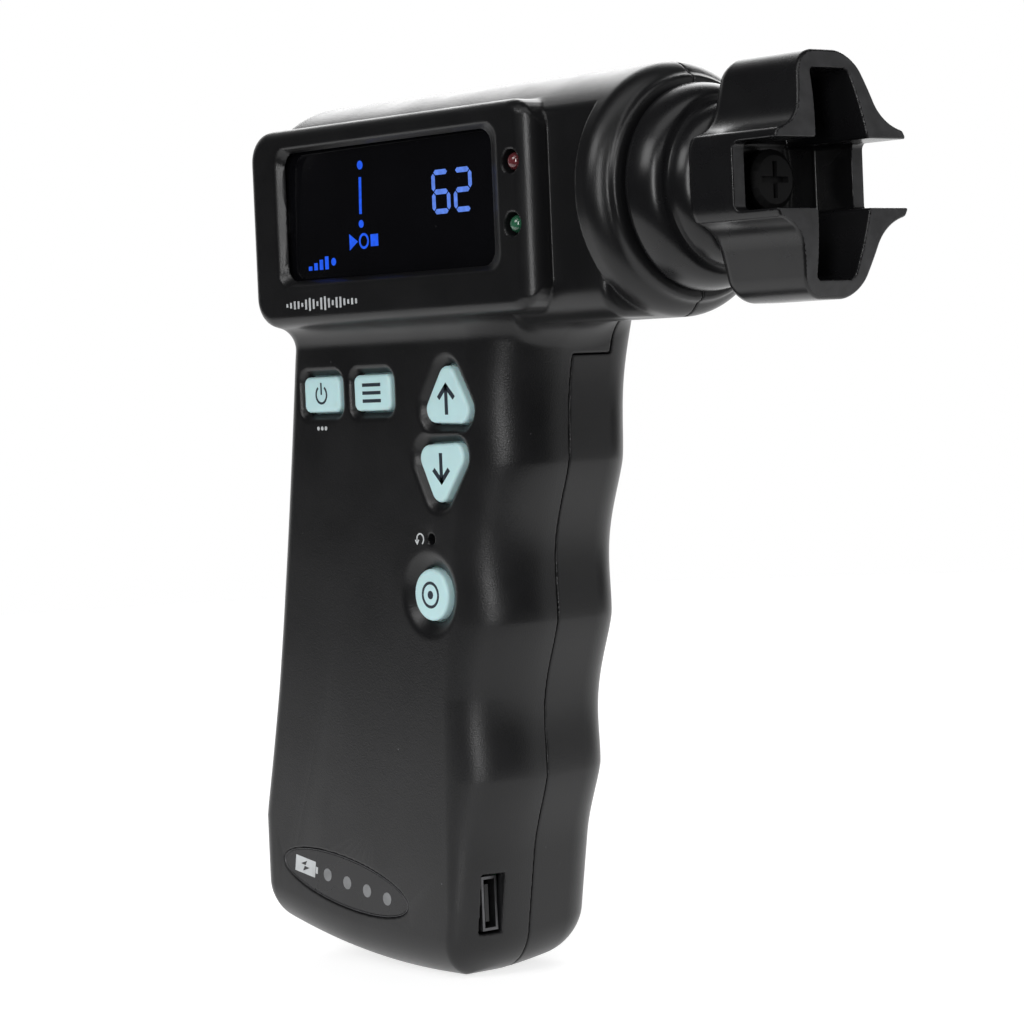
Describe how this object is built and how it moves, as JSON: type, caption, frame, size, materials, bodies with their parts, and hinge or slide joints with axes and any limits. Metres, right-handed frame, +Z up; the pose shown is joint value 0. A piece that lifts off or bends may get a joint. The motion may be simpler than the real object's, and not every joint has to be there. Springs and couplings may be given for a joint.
{
  "type": "motorised string winder",
  "caption": "Pistol-grip motorised peg winder and string tuner with a front display, press keys, a charge gauge and a slotted rotating winder head.",
  "frame": {"origin": "middle of the bounding box in plan, at the height of the lowest point of the grip's foot", "axes": "+Z up along the upright tool, +X along the barrel towards the winder head, -Y towards the viewer of the display"},
  "size_m": [0.1148, 0.034, 0.126],
  "materials": {
    "shell_black": "satin moulded plastic with a fine texture",
    "head_black": "semi-gloss moulded nylon",
    "lens_black": "gloss tinted acrylic",
    "key_cyan": "satin silicone-topped plastic",
    "led_red": "tinted epoxy dome",
    "led_green": "tinted epoxy dome",
    "window_grey": "gloss tinted acrylic",
    "board_green": "glass-fibre laminate with solder mask",
    "switch_black": "moulded plastic",
    "module_dark": "display glass",
    "steel": "plated steel",
    "brass": "brass, turned",
    "nylon": "natural nylon",
    "battery_silver": "foil pouch"
  },
  "bodies": {
    "housing": {"front_shell": "shell_black", "rear_shell": "shell_black", "display_lens": "lens_black", "display_module": "module_dark", "led_red": "led_red", "led_green": "led_green", "charge_window": "window_grey", "charge_board": "board_green", "main_board": "board_green", "battery_cell": "battery_silver", "usb_socket": "steel", "usb_tongue": "nylon", "motor_can": "steel", "motor_end_cap": "nylon", "gearbox_housing": "steel", "lay_pin": "steel", "vibration_sensor": "brass", "nose_bush": "brass", "charge_led_1": "nylon", "charge_led_2": "nylon", "charge_led_3": "nylon", "charge_led_4": "nylon", "switch_power": "switch_black", "switch_mode": "switch_black", "switch_up": "switch_black", "switch_down": "switch_black", "switch_mark": "switch_black", "switch_reset": "switch_black", "shell_screw_1": "steel", "shell_screw_2": "steel", "shell_screw_3": "steel", "shell_screw_4": "steel", "shell_screw_5": "steel"},
    "winder": {"winder_head": "head_black", "bell_collar": "head_black", "output_shaft": "steel", "output_gear": "nylon", "winder_screw": "steel"},
    "motor_rotor": {"motor_pinion": "brass"},
    "layshaft": {"lay_gear": "nylon"},
    "button_power": {"key_power": "key_cyan"},
    "button_mode": {"key_mode": "key_cyan"},
    "button_up": {"key_up": "key_cyan"},
    "button_down": {"key_down": "key_cyan"},
    "button_mark": {"key_mark": "key_cyan"}
  },
  "joints": [
    {"name": "winder_spin", "type": "hinge", "parent": "housing", "child": "winder", "pos_m": [0.04034, 0, 0.109], "axis": [1, 0, 0], "continuous": true},
    {"name": "motor_spin", "type": "hinge", "parent": "housing", "child": "motor_rotor", "pos_m": [-0.00666, 0, 0.109], "axis": [1, 0, 0], "continuous": true},
    {"name": "layshaft_spin", "type": "hinge", "parent": "housing", "child": "layshaft", "pos_m": [-0.00166, 0, 0.1166], "axis": [1, 0, 0], "continuous": true},
    {"name": "press_power", "type": "slide", "parent": "housing", "child": "button_power", "axis": [0, 1, 0], "range_m": [0, 0.0006], "stiffness_N_per_m": 500, "springref_m": -0.0004},
    {"name": "press_mode", "type": "slide", "parent": "housing", "child": "button_mode", "axis": [0, 1, 0], "range_m": [0, 0.0006], "stiffness_N_per_m": 500, "springref_m": -0.0004},
    {"name": "press_up", "type": "slide", "parent": "housing", "child": "button_up", "axis": [0, 1, 0], "range_m": [0, 0.0006], "stiffness_N_per_m": 500, "springref_m": -0.0004},
    {"name": "press_down", "type": "slide", "parent": "housing", "child": "button_down", "axis": [0, 1, 0], "range_m": [0, 0.0006], "stiffness_N_per_m": 500, "springref_m": -0.0004},
    {"name": "press_mark", "type": "slide", "parent": "housing", "child": "button_mark", "axis": [0, 1, 0], "range_m": [0, 0.0006], "stiffness_N_per_m": 500, "springref_m": -0.0004}
  ],
  "couplings": [
    {"joint": "layshaft_spin", "follows": "winder_spin", "ratio": -2.1667},
    {"joint": "motor_spin", "follows": "winder_spin", "ratio": 6.0667}
  ]
}
